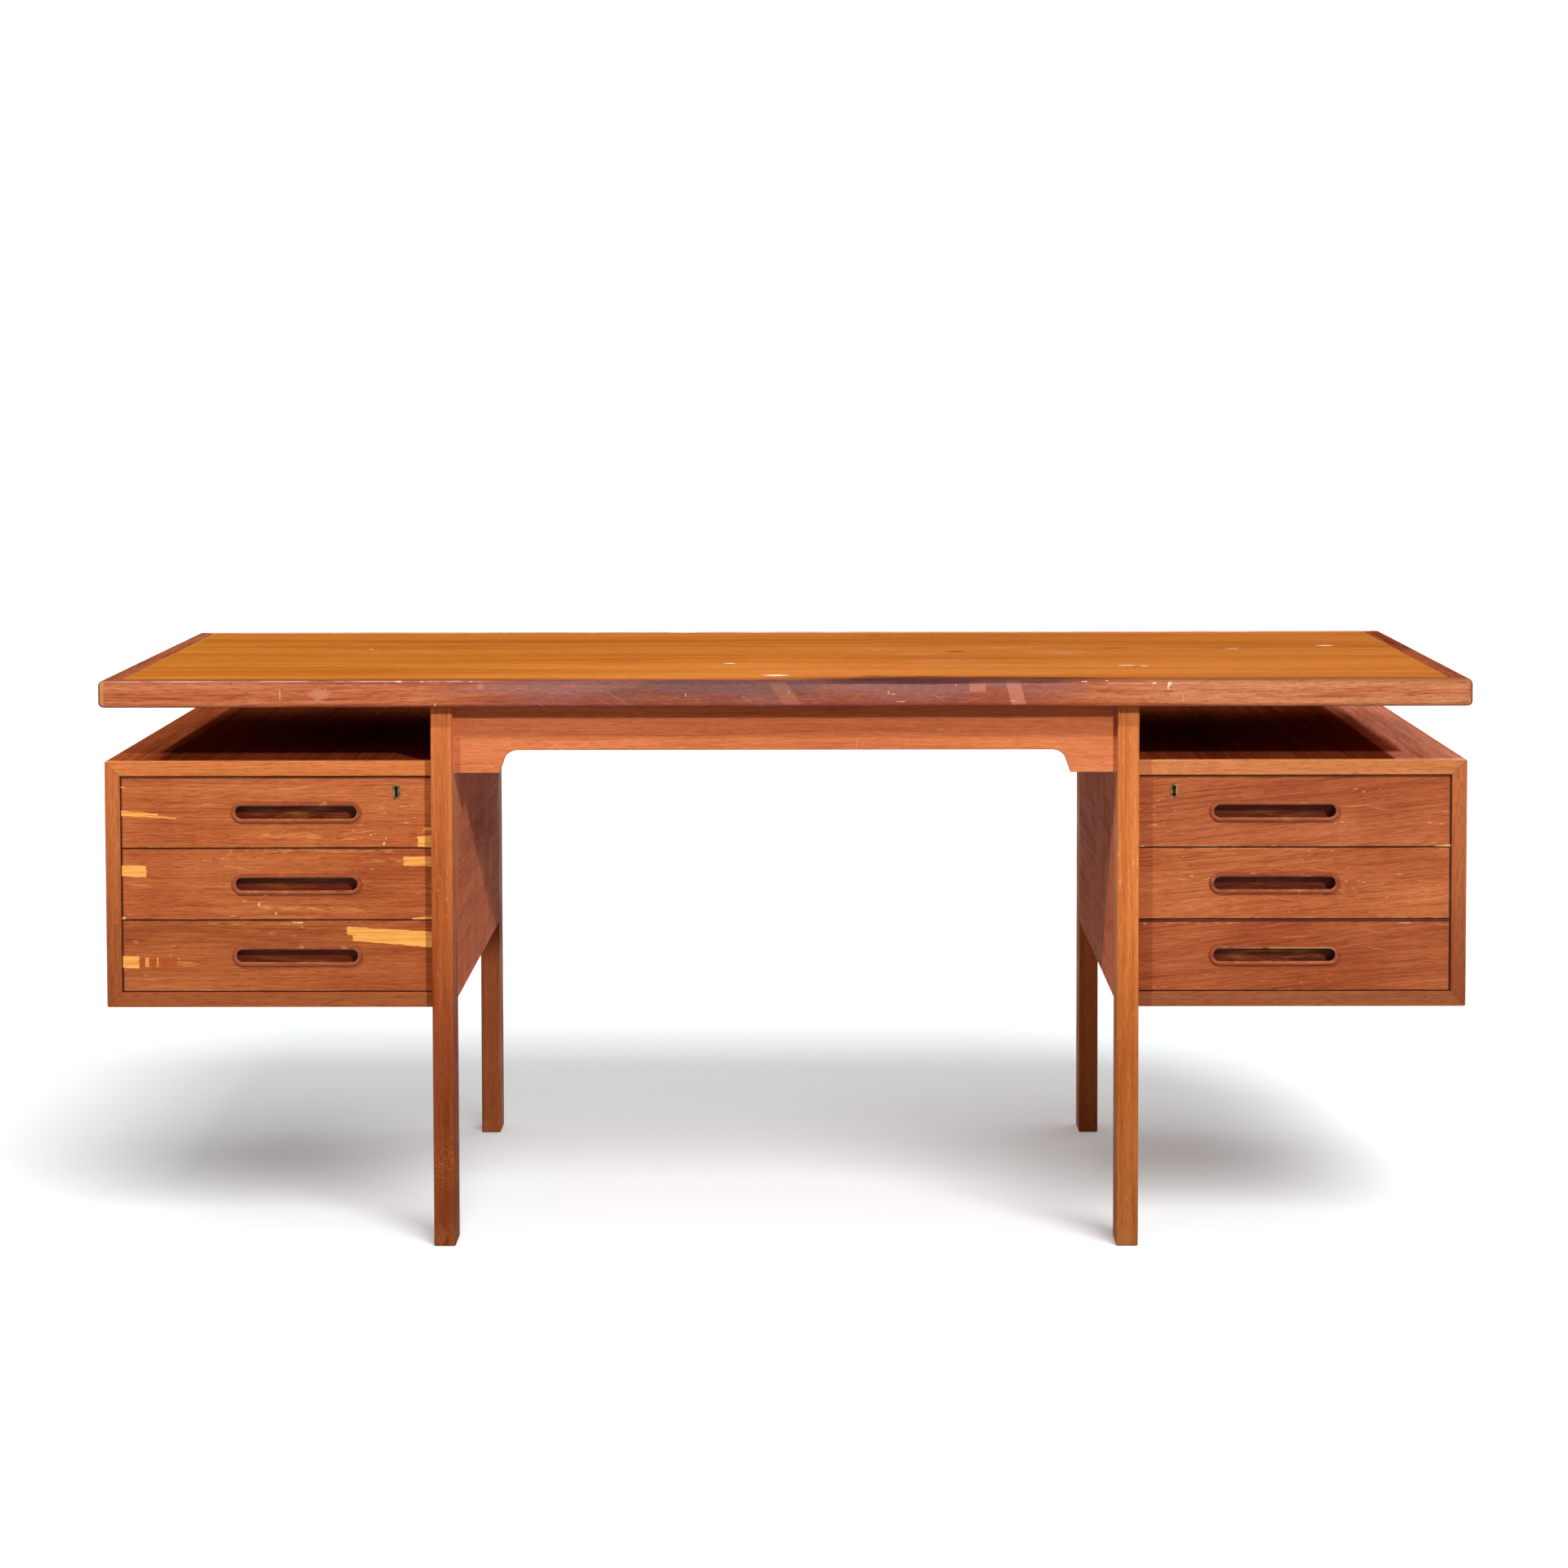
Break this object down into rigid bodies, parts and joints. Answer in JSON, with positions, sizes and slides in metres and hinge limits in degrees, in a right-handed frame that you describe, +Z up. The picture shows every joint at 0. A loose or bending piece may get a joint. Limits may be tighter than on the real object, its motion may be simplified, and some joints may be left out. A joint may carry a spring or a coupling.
{
  "type": "executive desk",
  "caption": "Long writing desk with a thin floating top on slim straight legs, drawer pedestals hung at both ends, raised oblong pulls, keyholes and open niches at the back.",
  "frame": {"origin": "on the floor, under the middle of the top", "axes": "+Z up, +X to the sitter's right, -Y towards the sitter, who faces +Y"},
  "size_m": [1.8, 0.84, 0.754],
  "materials": {
    "top_veneer": "oiled golden teak veneer, worn",
    "teak_solid": "oiled solid teak, satin",
    "case_veneer": "oiled teak veneer, satin",
    "drawer_veneer": "oiled teak veneer, chipped at the edges",
    "pull_wood": "dark solid teak, polished by use",
    "box_wood": "pale beech and plywood, unfinished",
    "brass": "aged brass",
    "steel": "dull plated steel"
  },
  "bodies": {
    "desk": {"top_panel": "top_veneer", "top_lipping_front": "teak_solid", "top_lipping_back": "teak_solid", "top_lipping_left": "teak_solid", "top_lipping_right": "teak_solid", "apron_front": "case_veneer", "apron_back": "case_veneer", "top_fixing_blocks": "box_wood", "top_screws": "steel", "frame_dowels": "box_wood", "case_dowels": "box_wood", "shelf_pins": "brass", "leg_front_left": "teak_solid", "leg_back_left": "teak_solid", "side_rail_left": "teak_solid", "inner_panel_left": "case_veneer", "case_top_left": "case_veneer", "case_side_left": "case_veneer", "case_bottom_left": "case_veneer", "case_edging_left": "teak_solid", "case_partition_left": "case_veneer", "drawer_runners_left": "box_wood", "niche_shelf_left": "case_veneer", "leg_front_right": "teak_solid", "leg_back_right": "teak_solid", "side_rail_right": "teak_solid", "inner_panel_right": "case_veneer", "case_top_right": "case_veneer", "case_side_right": "case_veneer", "case_bottom_right": "case_veneer", "case_edging_right": "teak_solid", "case_partition_right": "case_veneer", "drawer_runners_right": "box_wood", "niche_shelf_right": "case_veneer"},
    "left_top_drawer": {"drawer_front_left_top": "drawer_veneer", "drawer_pull_left_top": "pull_wood", "drawer_box_left_top": "box_wood", "lock_case_left": "steel", "keyhole_thimble_left": "brass"},
    "left_middle_drawer": {"drawer_front_left_middle": "drawer_veneer", "drawer_pull_left_middle": "pull_wood", "drawer_box_left_middle": "box_wood"},
    "left_bottom_drawer": {"drawer_front_left_bottom": "drawer_veneer", "drawer_pull_left_bottom": "pull_wood", "drawer_box_left_bottom": "box_wood"},
    "left_lock_bolt": {"lock_bolt_left": "steel"},
    "right_top_drawer": {"drawer_front_right_top": "drawer_veneer", "drawer_pull_right_top": "pull_wood", "drawer_box_right_top": "box_wood", "lock_case_right": "steel", "keyhole_thimble_right": "brass"},
    "right_middle_drawer": {"drawer_front_right_middle": "drawer_veneer", "drawer_pull_right_middle": "pull_wood", "drawer_box_right_middle": "box_wood"},
    "right_bottom_drawer": {"drawer_front_right_bottom": "drawer_veneer", "drawer_pull_right_bottom": "pull_wood", "drawer_box_right_bottom": "box_wood"},
    "right_lock_bolt": {"lock_bolt_right": "steel"}
  },
  "joints": [
    {"name": "left_top_drawer_slide", "type": "slide", "parent": "desk", "child": "left_top_drawer", "axis": [0, -1, 0], "range_m": [0, 0.34]},
    {"name": "left_middle_drawer_slide", "type": "slide", "parent": "desk", "child": "left_middle_drawer", "axis": [0, -1, 0], "range_m": [0, 0.34]},
    {"name": "left_bottom_drawer_slide", "type": "slide", "parent": "desk", "child": "left_bottom_drawer", "axis": [0, -1, 0], "range_m": [0, 0.34]},
    {"name": "left_lock_bolt_slide", "type": "slide", "parent": "left_top_drawer", "child": "left_lock_bolt", "axis": [0, 0, 1], "range_m": [0, 0.007]},
    {"name": "right_top_drawer_slide", "type": "slide", "parent": "desk", "child": "right_top_drawer", "axis": [0, -1, 0], "range_m": [0, 0.34]},
    {"name": "right_middle_drawer_slide", "type": "slide", "parent": "desk", "child": "right_middle_drawer", "axis": [0, -1, 0], "range_m": [0, 0.34]},
    {"name": "right_bottom_drawer_slide", "type": "slide", "parent": "desk", "child": "right_bottom_drawer", "axis": [0, -1, 0], "range_m": [0, 0.34]},
    {"name": "right_lock_bolt_slide", "type": "slide", "parent": "right_top_drawer", "child": "right_lock_bolt", "axis": [0, 0, 1], "range_m": [0, 0.007]}
  ]
}
